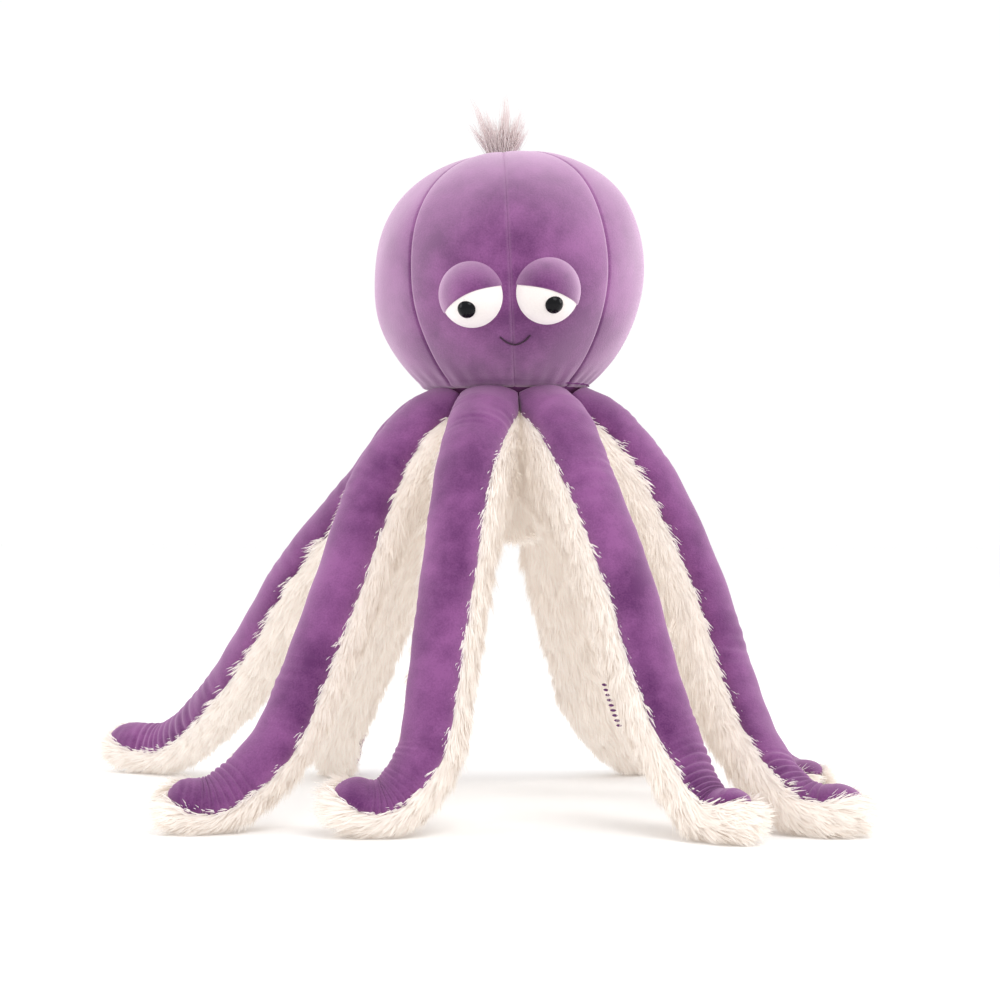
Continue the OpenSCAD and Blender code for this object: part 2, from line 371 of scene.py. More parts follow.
def make_fur_tree():
    tree, source, sink = geometry_tree("fur", [
        ("Density", "NodeSocketFloat", 1.0e6), ("Length", "NodeSocketFloat", 0.012),
        ("Width", "NodeSocketFloat", 0.0009), ("Lift", "NodeSocketFloat", 0.42),
        ("Lock", "NodeSocketFloat", 1.7), ("Lock size", "NodeSocketFloat", 110.0),
        ("Stray", "NodeSocketFloat", 0.2), ("Floor", "NodeSocketFloat", 0.0004),
        ("Seed", "NodeSocketInt", 1), ("Material", "NodeSocketMaterial", None),
    ])
    t = Tree(tree)
    given = source.outputs
    grown = t.named("size")
    # size is 0 on the skin's inner side, where nothing grows
    thick = t.math("MULTIPLY", given["Density"], t.math("GREATER_THAN", grown, 0.4))
    scatter = t.add("GeometryNodeDistributePointsOnFaces",
                    {"Mesh": given["Geometry"], "Density": thick, "Seed": given["Seed"]})
    normal = scatter.outputs["Normal"]
    flow = t.named("flow", "FLOAT_VECTOR")
    position = t.add("GeometryNodeInputPosition").outputs[0]
    locks = t.add("ShaderNodeTexNoise", {"Vector": position, "Scale": given["Lock size"], "Detail": 2.0})
    lock = t.vector("SUBTRACT", locks.outputs["Color"], (0.5, 0.5, 0.5))
    lock = t.vector("SCALE", lock, scale=given["Lock"])
    stray = t.add("FunctionNodeRandomValue", {0: (-1, -1, -1), 1: (1, 1, 1), "Seed": given["Seed"]},
                  data_type="FLOAT_VECTOR").outputs[0]
    stray = t.vector("SCALE", stray, scale=given["Stray"])
    rise = t.vector("SCALE", normal, scale=given["Lift"])
    way = t.vector("NORMALIZE", t.vector("ADD", t.vector("ADD", flow, rise), t.vector("ADD", lock, stray)))
    turn = t.add("FunctionNodeAlignRotationToVector", {"Vector": way}, axis="Y")
    turn = t.add("FunctionNodeAlignRotationToVector", {"Rotation": turn.outputs[0], "Vector": normal},
                 axis="Z", pivot_axis="Y")
    # the blade: a strip of two quads that narrows and curls down towards its tip
    blade = t.add("GeometryNodeMeshGrid",
                  {"Size X": 1.0, "Size Y": 1.0, "Vertices X": 2, "Vertices Y": 3}).outputs["Mesh"]
    axes = t.add("ShaderNodeSeparateXYZ", {0: position})
    along = t.math("ADD", axes.outputs["Y"], 0.5)
    narrow = t.math("SUBTRACT", 1.0, t.math("MULTIPLY", t.math("POWER", along, 2.2), 0.86))
    curl = t.math("MULTIPLY", t.math("MULTIPLY", along, along), -0.22)
    curl = t.math("ADD", curl, t.math("MULTIPLY", along, 0.06))
    bent = t.add("ShaderNodeCombineXYZ", {
        "X": t.math("MULTIPLY", t.math("MULTIPLY", axes.outputs["X"], narrow), given["Width"]),
        "Y": t.math("MULTIPLY", along, given["Length"]),
        "Z": t.math("MULTIPLY", curl, given["Length"])}).outputs[0]
    marked = t.add("GeometryNodeStoreNamedAttribute", {"Geometry": blade, "Name": "along", "Value": along},
                   data_type="FLOAT", domain="POINT").outputs[0]
    blade = t.add("GeometryNodeSetPosition", {"Geometry": marked, "Position": bent}).outputs[0]
    longer = t.add("ShaderNodeTexNoise", {"Vector": position, "Scale": 140.0, "Detail": 1.0}).outputs[0]
    longer = t.math("ADD", t.math("MULTIPLY", longer, 0.9), 0.55)
    size = t.math("MULTIPLY", t.random(0.75, 1.2, given["Seed"]), longer)
    size = t.math("MULTIPLY", size, grown)
    placed = t.add("GeometryNodeInstanceOnPoints", {
        "Points": scatter.outputs["Points"], "Instance": blade, "Rotation": turn.outputs[0],
        "Scale": t.add("ShaderNodeCombineXYZ", {"X": 1.0, "Y": size, "Z": size}).outputs[0]}).outputs[0]
    marks = {"Geometry": placed, "Name": "shade", "Value": t.random(0.0, 1.0, given["Seed"])}
    placed = t.add("GeometryNodeStoreNamedAttribute", marks,
                   data_type="FLOAT", domain="INSTANCE").outputs[0]
    real = t.add("GeometryNodeRealizeInstances", {"Geometry": placed}).outputs[0]
    here = t.add("ShaderNodeSeparateXYZ", {0: position})
    raised = t.add("ShaderNodeCombineXYZ", {
        "X": here.outputs["X"], "Y": here.outputs["Y"],
        "Z": t.math("MAXIMUM", here.outputs["Z"], given["Floor"])}).outputs[0]
    real = t.add("GeometryNodeSetPosition", {"Geometry": real, "Position": raised}).outputs[0]
    joined = t.add("GeometryNodeJoinGeometry")
    tree.links.new(given["Geometry"], joined.inputs[0])
    tree.links.new(real, joined.inputs[0])
    dressed = t.add("GeometryNodeSetMaterial",
                    {"Geometry": joined.outputs[0], "Material": given["Material"]}).outputs[0]
    smoothed = t.add("GeometryNodeSetShadeSmooth", {"Geometry": dressed}).outputs[0]
    tree.links.new(smoothed, sink.inputs[0])
    return tree


FUR = make_fur_tree()


def run_tree(obj, tree, **values):
    """Runs a tree on an object and returns the result as a plain object of the same name."""
    modifier = obj.modifiers.new("tree", "NODES")
    modifier.node_group = tree
    sockets = {item.name.replace(" ", "_").lower(): item.identifier for item in tree.interface.items_tree
               if item.in_out == "INPUT"}
    for key, value in values.items():
        modifier[sockets[key]] = value
    bpy.context.view_layer.update()
    evaluated = obj.evaluated_get(bpy.context.evaluated_depsgraph_get())
    mesh = bpy.data.meshes.new_from_object(evaluated)
    name = obj.name
    old = obj.data
    bpy.data.objects.remove(obj)
    if isinstance(old, bpy.types.Mesh):
        bpy.data.meshes.remove(old)
    else:
        bpy.data.curves.remove(old)
    result = bpy.data.objects.new(name, mesh)
    bpy.context.scene.collection.objects.link(result)
    return result


# %% [markdown]
# ## The tentacles' shape
# Each tentacle follows a smooth curve from the neck to its tip. Its section is an oval whose band faces
# outwards at the neck and turns on the way down. The rules are the CAD model's own, and so are the
# numbers, apart from a slightly fuller band and less space between tentacles near the neck. So the cloth
# lies close over the solids. Station t runs from 0 at the neck to 1 at the tip, and angle q runs round
# the section from the middle of the band.

# %% Tentacle numbers
AXIS = np.array([44.0, -4.5, 0.0])          # the neck's axis, from the middle of the footprint
RING_TURN, STEP, HUB_R = 6.5, 45.0, 12.0
SHINS = [
    [[-37, -112, 150], [-45, -128, 88], [-54, -140, 46], [-78, -148, 20], [-113, -152, 26]],
    [[72, -114, 150], [89, -132, 90], [105, -145, 50], [124, -164, 19], [149, -182, 21]],
    [[124, -46, 150], [142, -72, 90], [160, -104, 48], [186, -138, 19], [224, -152, 20]],
    [[116, 62, 150], [142, 66, 90], [165, 56, 48], [192, 22, 18], [216, -14, 17]],
    [[38, 114, 152], [52, 130, 96], [66, 144, 54], [98, 168, 21], [128, 182, 24]],
    [[-86, 108, 150], [-108, 124, 92], [-126, 136, 48], [-131, 156, 20], [-132, 184, 23]],
    [[-146, 54, 158], [-180, 84, 107], [-216, 118, 62], [-262, 166, 24], [-312, 190, 25]],
    [[-109, -74, 150], [-131, -94, 90], [-153, -112, 48], [-187, -130, 20], [-220, -137, 21]],
]
MID_FACE = [-25, 36, 62, 119, 160, 200, 283, 329]
TIP_FACE = [-84, 50, 72, 50, 125, 194, 247, 290]
TIP_ROLL = [33, 5, 0, 0, 0, -75, 36, 40]
WIDTHS = [[0, 28], [0.14, 28], [0.29, 26], [0.43, 24.5], [0.57, 23.5], [0.71, 23], [0.86, 21], [1, 19]]
CROWNS = [[0, 23], [0.07, 27.5], [0.14, 28.5], [0.29, 26], [0.43, 25], [0.57, 23], [0.71, 20], [0.86, 17],
          [1, 15]]
KEELS = [[0, 29], [0.06, 42], [0.12, 58], [0.18, 53], [0.24, 45], [0.30, 37], [0.36, 32.5], [0.43, 30],
         [0.57, 27], [0.71, 24], [0.86, 20.5], [1, 19]]
SWEEPS = [[0, 84], [0.06, 66], [0.14, 58], [1, 58]]
RING_TOP, RING_GAP, RING_NARROWS = 286, 0.2, 0.02   # a tentacle's share of the ring near the neck
SHARE_ENDS, SHARE_FADE = 0.36, 0.08                 # the stations where the share stops counting
TIP_ROUNDS, TIP_SPAN = 0.94, 0.06                   # the station where the end rounds off


# %% Tentacle rules
def lookup(t, table):
    table = np.asarray(table, float)
    return np.interp(t, table[:, 0], table[:, 1])


def outward(angle):
    a = np.radians(angle)
    return np.stack([np.sin(a), -np.cos(a), 0 * a], -1)


def sideways(angle):
    a = np.radians(angle)
    return np.stack([np.cos(a), np.sin(a), 0 * a], -1)


def root_angle(k):
    return RING_TURN - STEP / 2 + STEP * k


def route_points(k):
    o = outward(float(root_angle(k)))
    return np.array([o * 41 + [0, 0, 274], o * 70 + [0, 0, 250], o * 97.5 + [0, 0, 217]] + SHINS[k], float)


def on_route(k, t):
    p = route_points(k)
    n = len(p) - 1
    ends = np.vstack([2 * p[0] - p[1], p, 2 * p[n] - p[n - 1]])
    s = np.clip(np.asarray(t, float), 0, 1) * n
    i = np.minimum(np.floor(s).astype(int), n - 1)
    u = (s - i)[..., None]
    a, b, c, d = ends[i], ends[i + 1], ends[i + 2], ends[i + 3]
    bend, twist = 2 * a - 5 * b + 4 * c - d, 3 * b - a - 3 * c + d
    return (2 * b + (c - a) * u + bend * u ** 2 + twist * u ** 3) / 2


def section_axes(k, t):
    """Heading, way to the band and way across it, for each t."""
    t = np.asarray(t, float)
    head = unit(on_route(k, np.minimum(1, t + 0.01)) - on_route(k, np.maximum(0, t - 0.01)))
    a = root_angle(k)
    face = np.where(t < 0.5, a + (MID_FACE[k] - a) * smooth((t - 0.04) / 0.3),
                    MID_FACE[k] + (TIP_FACE[k] - MID_FACE[k]) * smooth((t - 0.5) / 0.4))
    w0 = sideways(face)
    w1 = unit(w0 - (w0 * head).sum(-1, keepdims=True) * head)
    n1 = np.cross(head, w1)
    roll = np.radians(TIP_ROLL[k] * smooth((t - 0.5) / 0.35))[..., None]
    return head, n1 * np.cos(roll) + w1 * np.sin(roll), w1 * np.cos(roll) - n1 * np.sin(roll)


def end_scale(t):
    rounded = np.sqrt(np.maximum(0.012, 1 - ((t - TIP_ROUNDS) / TIP_SPAN) ** 2))
    return np.where(t > TIP_ROUNDS, rounded, 1.0)


def skin(k, t, q, depth):
    """Points in millimetres for stations t and angles q[row, column], drawn inwards by depth."""
    t = np.asarray(t, float)[:, None] * np.ones_like(q)
    head, n, w = section_axes(k, t)
    angle = np.radians(q)
    reach = np.where(np.cos(angle) > 0, lookup(t, CROWNS), lookup(t, KEELS))
    s = end_scale(t)
    v = on_route(k, t) + (s * (reach - depth) * np.cos(angle))[..., None] * n
    v = v + (s * (lookup(t, WIDTHS) - depth) * np.sin(angle))[..., None] * w
    # near the neck a tentacle stays inside its share of the ring; further down it rests on the floor
    o, side = outward(float(root_angle(k))), sideways(float(root_angle(k)))
    d = np.maximum(depth, 0)
    r = np.maximum(v @ o, HUB_R + 9 + d)
    below = np.maximum(0, RING_TOP - v[..., 2])
    limit = r * math.tan(math.radians(STEP / 2)) - RING_GAP - 0.25 * d - below * RING_NARROWS
    held = r[..., None] * o + np.clip(v @ side, -limit, limit)[..., None] * side
    held[..., 2] = v[..., 2]
    free = v.copy()
    free[..., 2] = np.maximum(v[..., 2], d)
    blend = smooth((t - SHARE_ENDS) / SHARE_FADE)[..., None]
    return held * (1 - blend) + free * blend + AXIS


# %% [markdown]
# ## Folds in the bands
# The bands gather where a tentacle bends at the ankle: a row of narrow folds across the band, deepest
# on the inside of the bend. Further up there are only broad, shallow waves, as in any stuffed tube.

# %% Fold rules
# For each tentacle: where the gathers start and end, how deep they are, and the side they favour
GATHERS = [(0.74, 0.94, 1.5, 0.9), (0.70, 0.90, 1.9, 0.4), (0.74, 0.93, 1.8, 0.3), (0.74, 0.9, 1.4, 0.5),
           (0.74, 0.9, 1.4, 0.5), (0.70, 0.94, 2.0, 0.2), (0.72, 0.95, 1.7, 0.6), (0.76, 0.93, 1.5, 0.8)]
GATHER_WAVES = 54.0


def folds(k, t, q):
    """How far the cloth sinks, in millimetres, at each t and q."""
    start, end, deep, side = GATHERS[k]
    t = t[:, None] * np.ones_like(q)
    angle = np.radians(q)
    where = smooth((t - start) / 0.04) * smooth((end - t) / 0.04)
    favour = 0.55 + 0.45 * np.sin(angle * side + 1.1 * k)
    wander = 0.35 * np.sin(3 * angle + 2.1 * k) + 0.5 * np.sin(t * 37 + k)
    wave = 0.5 + 0.5 * np.sin(2 * np.pi * GATHER_WAVES * t + wander * 2.2)
    narrow = deep * where * favour * (1 - wave) ** 1.6
    broad = 0.3 * np.sin(t * 23 + 1.7 * k + 1.4 * angle) + 0.22 * np.sin(t * 83 + 0.6 * k - 2.0 * angle)
    patchy = np.clip(np.sin(t * 19 + 2.2 * k) + np.sin(t * 47 + k + 2 * angle), 0, 2)
    broad = broad + 0.16 * patchy * np.sin(t * 290 + 2.6 * k + 1.5 * np.sin(2 * angle + 9 * t))
    return narrow + broad * smooth((t - 0.03) / 0.1)


def route_length(k):
    steps = np.diff(on_route(k, np.linspace(0, 1, 200)), axis=0)
    return float(np.linalg.norm(steps, axis=1).sum())


print("route lengths, mm:", [round(route_length(k)) for k in range(8)])

# %% [markdown]
# ## Bands and fur
# Each tentacle is cut at a third of its length, into a shoulder above the cut and a leg below it.
# The band is a closed shell of cloth that tucks under the fur at its edges. The fur is a skin a few
# millimetres inside the outline, with the fur tree run on it.

# %% Make the tentacles
CUT, LAP = 0.30, 0.003
BAND_ROUNDS, BAND_ENDS = 0.91, 0.999
BAND_COLUMNS, FUR_COLUMNS = 27, 41
LEG_ROWS, SHOULDER_ROWS = 270, 80
TUCK, CLOTH, EDGE_TUCK = 0.5, 1.6, 3.2      # how deep a band lies, how thick it is, how far its edge dives
FUR_SKIN_DEPTH, FUR_SKIN = 4.6, 1.5         # the skin that the fur grows on


def band_edge(t):
    """Half of the band's sweep: it rounds off just before the tentacle's tip."""
    rounded = np.clip(1 - ((t - BAND_ROUNDS) / (BAND_ENDS - BAND_ROUNDS)) ** 2, 0, 1)
    return lookup(t, SWEEPS) * np.where(t > BAND_ROUNDS, np.sqrt(rounded), 1)


def make_band(k, name, t, lap):
    """The band; lap is the station just past the cut, a hair deeper, that keeps the join smooth."""
    t = np.sort(np.append(t[t < 0.995], lap))
    u = np.linspace(-1, 1, BAND_COLUMNS)[None, :]
    edge = band_edge(t)[:, None] + 5.0
    q = u * edge
    tuck = TUCK + EDGE_TUCK * np.abs(u) ** 6 + folds(k, t, q) + 0.1 * (t == lap)[:, None]
    return shell(name, skin(k, t, q, tuck), skin(k, t, q, tuck + CLOTH), band_velboa)


def add_fur_attributes(obj, flow, size):
    """Gives the shell's outer side its flow and size, and its inner side no fur."""
    both_sides = np.concatenate([flow, flow[:, ::-1]], axis=1)
    attribute = obj.data.attributes.new("flow", "FLOAT_VECTOR", "POINT")
    attribute.data.foreach_set("vector", both_sides.astype(np.float32).ravel())
    both_sides = np.concatenate([size, np.zeros_like(size)], axis=1)
    attribute = obj.data.attributes.new("size", "FLOAT", "POINT")
    attribute.data.foreach_set("value", both_sides.astype(np.float32).ravel())


def make_fur(k, name, t, seed):
    """The furred side of a tentacle, from one edge of its band round to the other."""
    u = np.linspace(0, 1, FUR_COLUMNS)[None, :]
    edge = band_edge(t)[:, None]
    q = edge + u * (360 - 2 * edge)
    obj = shell(name, skin(k, t, q, FUR_SKIN_DEPTH), skin(k, t, q, FUR_SKIN_DEPTH + FUR_SKIN), long_fur)
    # strands flow down the tentacle and, close to the band, lean over its edge
    head, n, w = section_axes(k, t[:, None] * np.ones_like(q))
    rad = np.radians(q)[..., None]
    across = -np.sin(rad) * n + np.cos(rad) * w
    near = np.exp(-(u * (360 - 2 * edge)) / 16) - np.exp(-((1 - u) * (360 - 2 * edge)) / 16)
    flow = head * 0.8 - across * near[..., None] * 0.4 + np.array([0, 0, -0.25])
    size = np.ones(q.shape) * (0.85 + 0.15 * smooth((t - 0.05) / 0.3))[:, None] * (1 - 0.25 * np.abs(near))
    add_fur_attributes(obj, flow, size)
    return run_tree(obj, FUR, density=1.0e6, length=0.0122, width=0.00105, seed=seed, material=long_fur)


leg_t = np.concatenate([np.linspace(CUT, TIP_ROUNDS, LEG_ROWS - 30), np.linspace(TIP_ROUNDS, 1, 31)[1:]])
shoulder_t = np.linspace(0, CUT, SHOULDER_ROWS)
for k in range(8):
    body, leg = f"tentacle_{k + 1}", f"tentacle_{k + 1}_end"
    band_top = make_band(k, f"shoulder_band_{k + 1}", shoulder_t, CUT + LAP)
    band_leg = make_band(k, f"leg_band_{k + 1}", leg_t, CUT - LAP)
    fur_top = make_fur(k, f"shoulder_fur_{k + 1}", shoulder_t, 10 + k)
    fur_leg = make_fur(k, f"leg_fur_{k + 1}", leg_t[::3], 30 + k)
    for piece, slot in ((band_top, "velboa"), (fur_top, "fur")):
        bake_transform(piece)
    for piece, slot in ((band_leg, "velboa"), (fur_leg, "fur")):
        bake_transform(piece)
    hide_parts(f"{body}_band")
    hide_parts(f"{body}_tip_band")
    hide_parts(f"{body}_fur", f"{body}_stuffing")
    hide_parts(f"{body}_tip_fur", f"{body}_tip_stuffing")
    print(body, "fur faces", len(fur_top.data.polygons), len(fur_leg.data.polygons))

# %% [markdown]
# ## The head
# Eight panels make the ball. Between two seams the stuffing pushes the cloth out a little, and at each
# seam the cloth dives into a narrow groove. The rows follow the CAD model's outline, and the columns
# crowd together near the seams, where the shape changes fast.

# %% Head rules
HEAD_R, HEAD_Z, CROWN_H, CHIN_H, NECK_DROP = 94.5, 368.5, 87.0, 96.5, 75.0
LEAN, PANELS = -3.0, 8
TIP_RIGHT = 0.045           # how far the ball itself tips to the right, for each unit of height
SEAM_LEAN = 0.09            # how far the seams lean to the left on it, in radians
GROOVE_DEPTH, GROOVE_WIDTH = 0.95, 0.8      # the seam itself
HOLLOW_DEPTH, HOLLOW_WIDTH = 0.35, 4.5      # the pull of the cloth beside it
PUFF, COVER_DEPTH = 0.35, 0.4


def lean_head(points):
    """From the face's own frame, centred on the head's widest level, to the row frame, in millimetres."""
    turn = np.array(Matrix.Rotation(math.radians(LEAN), 3, "Y"))
    return np.asarray(points, float) @ turn.T + [0, 0, HEAD_Z] + AXIS


def head_outline(rows):
    crown = np.radians(np.linspace(1.2, 90, rows))
    z = CROWN_H * np.cos(crown) ** (2 / 2.25)
    r = HEAD_R * np.sin(crown) ** (2 / 2.25)
    low = -NECK_DROP * np.linspace(0, 1, rows)[1:]
    return np.concatenate([r, HEAD_R * np.sqrt(1 - (low / CHIN_H) ** 2)]), np.concatenate([z, low])


def make_head():
    r, z = head_outline(64)
    neck_r = r[-1]
    r = np.concatenate([r, [neck_r - 2, neck_r - 7, neck_r - 16, 2]])
    z = np.concatenate([z, [z[-1] - 2.5, z[-1] - 4, z[-1] - 4.5, z[-1] - 4.5]])
    v = np.linspace(-1, 1, 29)[:-1]
    v = np.sign(v) * (1 - (1 - np.abs(v)) ** 1.7)
    angle = np.concatenate([(i + 0.5 + v / 2) * 360 / PANELS for i in range(PANELS)]) - 90
    off = np.abs((angle + 90 + 180 / PANELS) % (360 / PANELS) - 180 / PANELS)
    distance = r[:, None] * np.radians(off)[None, :]
    groove = GROOVE_DEPTH * np.exp(-(distance / GROOVE_WIDTH) ** 2)
    groove = groove + HOLLOW_DEPTH * np.exp(-(distance / HOLLOW_WIDTH) ** 2)
    level = np.sqrt(np.clip(r / HEAD_R, 0, 1))[:, None]
    puff = PUFF * (1 - (1 - off[None, :] * PANELS / 180) ** 2) * level
    a = np.radians(angle)[None, :]
    lumps = 0.35 * np.sin(5 * a + z[:, None] / 17) + 0.3 * np.sin(9 * a - z[:, None] / 11 + 2)
    pucker = 0.5 * np.sin(a * 34 + 1) * np.exp(-((z[:, None] + NECK_DROP) / 9) ** 2)
    fade = np.clip(level * 1.6, 0, 1)
    out = puff - groove * fade + (lumps + pucker) * level - COVER_DEPTH
    radius = r[:, None] + out * np.clip(r[:, None] / 12, 0, 1)
    height = z[:, None] + (out * 0.5 * np.clip(z / CROWN_H, -1, 1)[:, None]) * (z > -NECK_DROP + 1)[:, None]
    # the seams lean with the face, and the ball's outline doesn't: the upper part turns about the ball's
    # middle, and further down the seams only slide sideways, so that the neck stays level
    turned = smooth((height + 62) / 50)
    a = a + np.sin(a) * SEAM_LEAN * height / np.maximum(radius, 20) * (1 - turned)
    x, y = radius * np.cos(a), radius * np.sin(a)
    tilt = -SEAM_LEAN * turned
    x, height = x * np.cos(tilt) + height * np.sin(tilt), height * np.cos(tilt) - x * np.sin(tilt)
    points = np.stack([x + TIP_RIGHT * height, y, height], -1)
    rows, columns = radius.shape
    faces = grid_faces(rows, columns, around=True)
    flat = points.reshape(-1, 3)
    top = len(flat)
    pole = [(TIP_RIGHT - SEAM_LEAN) * CROWN_H, 0, CROWN_H - 0.3]
    flat = np.vstack([flat, pole, [0, 0, z[-1]]]) + [0, 0, HEAD_Z] + AXIS
    for j in range(columns):
        faces.append([top, j, (j + 1) % columns])
        base = (rows - 1) * columns
        faces.append([top + 1, base + (j + 1) % columns, base + j])
    return make_object("head_cover", flat, faces, velboa)


head = make_head()
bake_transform(head)
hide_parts("head_panels", "head_stuffing")
print("head faces:", len(head.data.polygons))

# %% [markdown]
# ## Eyes
# Each eye is a small stuffed dome of white fleece with a half-closed lid of plush over its top. The
# lid's edge is a curve that falls towards the outside, which gives the sleepy look. The domes are
# spheres sunk in the head, and the lid is a slightly larger sphere cut along that curve.

# %% Eye rules
EYE_SIDE, EYE_DROP, EYE_BALL_R, EYE_SINK = 16.5, 12.0, 23.4, 10.5
FACE_TURN, BUTTON_DROP, BUTTON_OUT = -0.6, EYE_DROP + 3.8, 106.0
PAD_R = EYE_BALL_R - 0.2
DIMPLE_DEPTH, DIMPLE_R = 0.7, 8.5           # where the button's shank pulls the dome in
LID_OUT, LID_IN = 0.8, -0.6                 # the lid's faces, from the dome's surface
# each lid's edge: its level, its slope and its sag, for the left eye and the right eye
LID_EDGES = {-1: (2.2, 0.40, 0.0125), 1: (1.6, 0.36, 0.0095)}


def look_matrix(side, drop):
    tip = Matrix.Rotation(math.radians(90 + drop), 3, "X")
    return np.array(Matrix.Rotation(math.radians(side), 3, "Z") @ tip)


def make_eye_pad(s, name):
    turn = look_matrix(s * EYE_SIDE + FACE_TURN, EYE_DROP)
    button = look_matrix(s * EYE_SIDE + FACE_TURN, BUTTON_DROP) @ np.array([0, 0, BUTTON_OUT])
    button = np.linalg.inv(turn) @ button
    polar = np.radians(np.linspace(1, 178, 60))[:, None]
    round_ = np.radians(np.arange(0, 360, 4))[None, :]
    direction = np.stack([np.sin(polar) * np.cos(round_), np.sin(polar) * np.sin(round_),
                          np.cos(polar) + 0 * round_], -1)
    centre = np.array([0, 0, HEAD_R - EYE_SINK])
    points = centre + PAD_R * direction
    gap = np.linalg.norm(points - button, axis=-1)
    points = points - direction * (DIMPLE_DEPTH * np.exp(-(gap / DIMPLE_R) ** 2))[..., None]
    rows, columns = points.shape[:2]
    flat = np.vstack([points.reshape(-1, 3), centre + [0, 0, PAD_R], centre - [0, 0, PAD_R]])
    faces = grid_faces(rows, columns, around=True)
    for j in range(columns):
        faces.append([rows * columns, j, (j + 1) % columns])
        base = (rows - 1) * columns
        faces.append([rows * columns + 1, base + (j + 1) % columns, base + j])
    return make_object(name, lean_head(flat @ turn.T), faces, fleece)


def make_lid(s, name, level, slope, sag):
    """The lid covers what is above y = level + slope x - sag x^2, with x towards the nose."""
    turn = look_matrix(s * EYE_SIDE + FACE_TURN, EYE_DROP)
    x = EYE_BALL_R * 0.995 * np.sin(np.radians(np.linspace(-88, 88, 61)))[:, None]
    nose = -s * x
    edge = level + slope * nose - sag * nose ** 2
    u = np.linspace(0, 1, 40)[None, :]

    def layer(radius, lift):
        rho = np.sqrt(np.maximum(radius ** 2 - x ** 2, 0.3))
        start = np.arcsin(np.clip(edge / rho, -0.95, 0.95))
        turned = start + (math.radians(150) - start) * u ** 1.25
        arc = (turned - start) * radius
        rolled = np.sqrt(np.clip(1 - (1 - np.minimum(arc / 3.0, 1)) ** 2, 0, 1))
        grown = 1 + (lift * (0.25 + 0.75 * rolled)) / radius
        return np.stack([x * grown, rho * np.sin(turned) * grown, rho * np.cos(turned) * grown], -1)

    centre = np.array([0, 0, HEAD_R - EYE_SINK])
    outer, inner = layer(PAD_R, LID_OUT) + centre, layer(PAD_R, LID_IN) + centre
    return shell(name, lean_head(outer @ turn.T), lean_head(inner @ turn.T), velboa)


for s, word in ((-1, "left"), (1, "right")):
    pad = make_eye_pad(s, f"eye_pad_{word}")
    lid = make_lid(s, f"eyelid_{word}", *LID_EDGES[s])
    for piece, slot in ((pad, "fleece"), (lid, "velboa")):
        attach(piece, "head")
    if s < 0:
        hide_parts("eye_pads")
        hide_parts("eyelids")

# %% [markdown]
# ## Stitches
# The smile and the short row of closing stitches are runs of thread. One tree puts a rounded stitch at
# even steps along a curve, so the step and the thread's size are inputs.


# %% Stitch tree
def make_stitch_tree():
    tree, source, sink = geometry_tree("stitches", [
        ("Step", "NodeSocketFloat", 0.0022), ("Length", "NodeSocketFloat", 0.0026),
        ("Thickness", "NodeSocketFloat", 0.0006), ("Turn", "NodeSocketFloat", 0.0),
        ("Seed", "NodeSocketInt", 1), ("Material", "NodeSocketMaterial", None),
    ])
    t = Tree(tree)
    given = source.outputs
    points = t.add("GeometryNodeCurveToPoints",
                   {"Curve": given["Geometry"], "Length": given["Step"]}, mode="LENGTH")
    bead = t.add("GeometryNodeMeshUVSphere", {"Segments": 8, "Rings": 6, "Radius": 1.0}).outputs["Mesh"]
    turned = t.add("FunctionNodeRotateRotation", {
        "Rotation": points.outputs["Rotation"],
        "Rotate By": t.add("FunctionNodeAxisAngleToRotation",
                           {"Axis": (1, 0, 0), "Angle": given["Turn"]}).outputs[0]},
        rotation_space="LOCAL").outputs[0]
    half = t.math("MULTIPLY", t.math("MULTIPLY", given["Length"], 0.5), t.random(0.85, 1.15, given["Seed"]))
    thick = given["Thickness"]
    scale = t.add("ShaderNodeCombineXYZ", {"X": thick, "Y": thick, "Z": half}).outputs[0]
    placed = t.add("GeometryNodeInstanceOnPoints", {
        "Points": points.outputs["Points"], "Instance": bead, "Rotation": turned,
        "Scale": scale}).outputs[0]
    real = t.add("GeometryNodeRealizeInstances", {"Geometry": placed}).outputs[0]
    dressed = t.add("GeometryNodeSetMaterial", {"Geometry": real, "Material": given["Material"]}).outputs[0]
    tree.links.new(t.add("GeometryNodeSetShadeSmooth", {"Geometry": dressed}).outputs[0], sink.inputs[0])
    return tree


STITCHES = make_stitch_tree()


def thread_run(name, points, **values):
    curve = bpy.data.curves.new(name, "CURVE")
    curve.dimensions = "3D"
    spline = curve.splines.new("POLY")
    spline.points.add(len(points) - 1)
    for p, where in zip(spline.points, points):
        p.co = (*(np.asarray(where) * MM), 1)
    obj = bpy.data.objects.new(name, curve)
    bpy.context.scene.collection.objects.link(obj)
    return run_tree(obj, STITCHES, **values)


# %% The smile and the closing stitches
SMILE_Z, SMILE_RISE = -52.5, 4.8            # its lowest point, below the head's middle, and its curve
SMILE_HALF_ANGLE, SMILE_TURN = 6.6, 0.9
u = np.linspace(-1, 1, 41)
smile_z = SMILE_Z + SMILE_RISE * np.abs(u) ** 2.0
smile_r = HEAD_R * np.sqrt(1 - (smile_z / CHIN_H) ** 2) + 0.45 - 1.0 * np.exp(-(u * 11 / 2.0) ** 2)
smile_a = np.radians(u * SMILE_HALF_ANGLE + SMILE_TURN)
smile = lean_head(np.stack([smile_r * np.sin(smile_a), -smile_r * np.cos(smile_a), smile_z], -1))
smile = thread_run("smile_thread", smile, step=0.0011, length=0.0024, thickness=0.00062,
                   material=black_thread)
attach(smile, "head")
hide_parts("smile_stitch")

